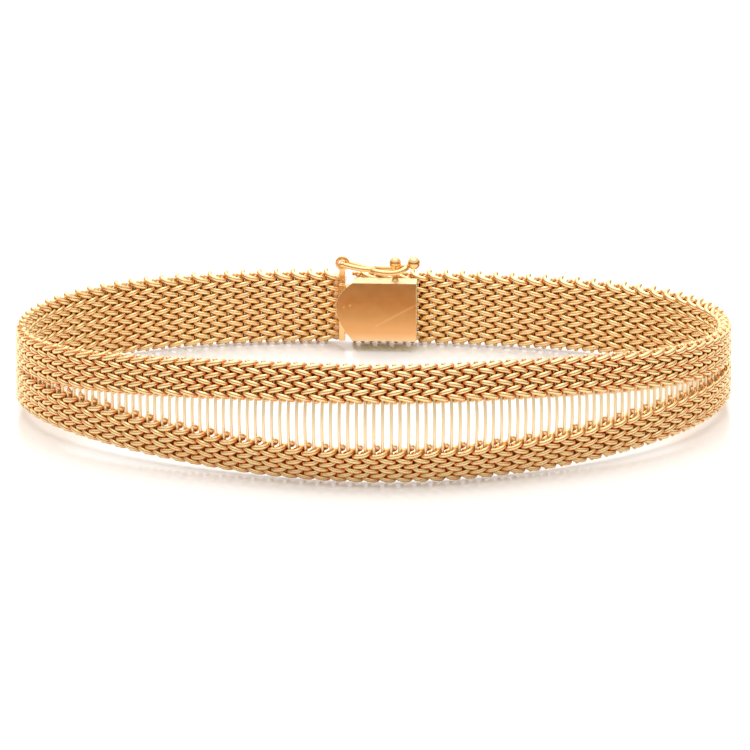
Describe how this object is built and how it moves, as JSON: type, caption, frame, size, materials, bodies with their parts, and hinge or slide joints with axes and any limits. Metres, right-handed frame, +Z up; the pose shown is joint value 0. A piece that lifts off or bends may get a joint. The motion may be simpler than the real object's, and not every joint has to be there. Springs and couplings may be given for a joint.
{
  "type": "woven mesh bracelet",
  "caption": "Closed yellow gold mesh bracelet standing on its edge, parted at the front round a long lens-shaped window of bare cross wires, with a box clasp and a wire safety",
  "frame": {"origin": "middle of the bracelet's footprint, on the surface that it stands on", "axes": "+X along the loop, to the right when the window is in front; +Y from the window to the clasp; +Z up, along the band's width"},
  "size_m": [0.069, 0.0466, 0.012],
  "materials": {
    "woven_gold": "bright wire woven as flattened coils on cross wires, warm yellow gold",
    "polished_gold": "polished yellow gold",
    "spring_gold": "plain rolled gold strip",
    "satin_gold": "flat plate worn to a satin shine with fine scratches"
  },
  "bodies": {
    "bracelet": {"woven_band": "woven_gold", "end_cap": "polished_gold", "clasp_tongue": "spring_gold", "clasp_box": "satin_gold", "safety_stud": "polished_gold"},
    "safety": {"safety_lever": "polished_gold"}
  },
  "joints": [
    {"name": "safety_hinge", "type": "hinge", "parent": "bracelet", "child": "safety", "pos_m": [-0.00308, 0.02078, 0.00865], "axis": [-0.0575, -0.9971, 0.0504], "range_deg": [0, 180]}
  ]
}
